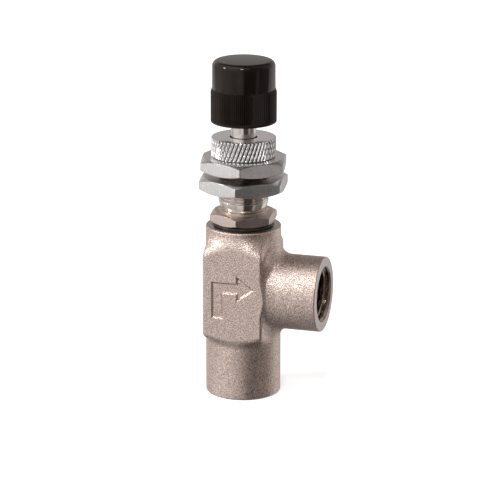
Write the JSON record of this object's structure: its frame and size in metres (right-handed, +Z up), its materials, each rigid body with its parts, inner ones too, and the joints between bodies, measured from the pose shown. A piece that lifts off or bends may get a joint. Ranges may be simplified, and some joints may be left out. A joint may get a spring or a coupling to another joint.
{
  "type": "flow control valve",
  "caption": "Right-angle air flow control valve with tapped ports, a threaded panel-mounting neck, a knurled lock ring and a fluted knob on a needle stem.",
  "frame": {"origin": "centre of the inlet port's face, at the bottom of the body, on the stem's axis", "axes": "+Z up the stem's axis towards the knob, +X out of the outlet port, -Y out of the pad that carries the flow arrow"},
  "size_m": [0.0307, 0.0224, 0.0816],
  "materials": {
    "blasted_nickel": "bead-blasted nickel plate over forged brass",
    "turned_nickel": "turned brass with bright nickel plate",
    "bright_plate": "bright plated, turned and milled",
    "stainless": "turned stainless steel",
    "plain_brass": "turned brass, unplated",
    "spring_steel": "drawn spring wire and black-oxide screw steel",
    "black_plastic": "moulded black plastic, semi-gloss",
    "black_rubber": "moulded nitrile rubber, matt",
    "white_plastic": "turned nylon and PTFE"
  },
  "bodies": {
    "body": {"valve_body": "blasted_nickel", "seat_ring": "stainless", "check_spring": "spring_steel", "bonnet_gasket": "black_rubber", "bonnet": "turned_nickel", "stop_ring": "stainless", "stem_wiper": "black_rubber", "lock_bush": "white_plastic"},
    "poppet": {"check_poppet": "plain_brass", "poppet_seal": "black_rubber"},
    "stem_seals": {"stem_o_ring": "black_rubber", "stem_backup_ring": "white_plastic"},
    "needle": {"stem": "stainless", "needle_tip": "stainless", "knob": "black_plastic", "knob_insert": "plain_brass", "knob_set_screw": "spring_steel"},
    "lock_ring": {"lock_ring": "bright_plate"},
    "lower_nut": {"panel_nut_lower": "bright_plate"},
    "upper_nut": {"panel_nut_upper": "bright_plate"}
  },
  "joints": [
    {"name": "needle_lift", "type": "slide", "parent": "body", "child": "stem_seals", "axis": [0, 0, 1], "range_m": [-0.003, 0.0015]},
    {"name": "needle_turn", "type": "hinge", "parent": "stem_seals", "child": "needle", "pos_m": [0, 0, 0.07], "axis": [0, 0, 1], "range_deg": [-1440, 720]},
    {"name": "check_lift", "type": "slide", "parent": "body", "child": "poppet", "axis": [0, 0, 1], "range_m": [0, 0.002], "stiffness_N_per_m": 300, "springref_m": -0.0066, "deforming": ["check_spring"]},
    {"name": "lock_ring_turn", "type": "hinge", "parent": "body", "child": "lock_ring", "pos_m": [0, 0, 0.061], "axis": [0, 0, 1], "range_deg": [0, 90]},
    {"name": "lower_nut_travel", "type": "slide", "parent": "body", "child": "lower_nut", "axis": [0, 0, 1], "range_m": [-0.0024, 0]},
    {"name": "upper_nut_travel", "type": "slide", "parent": "body", "child": "upper_nut", "axis": [0, 0, 1], "range_m": [-0.0012, 0]}
  ],
  "couplings": [
    {"joint": "needle_turn", "follows": "needle_lift", "rad_per_m": 8377.5}
  ]
}
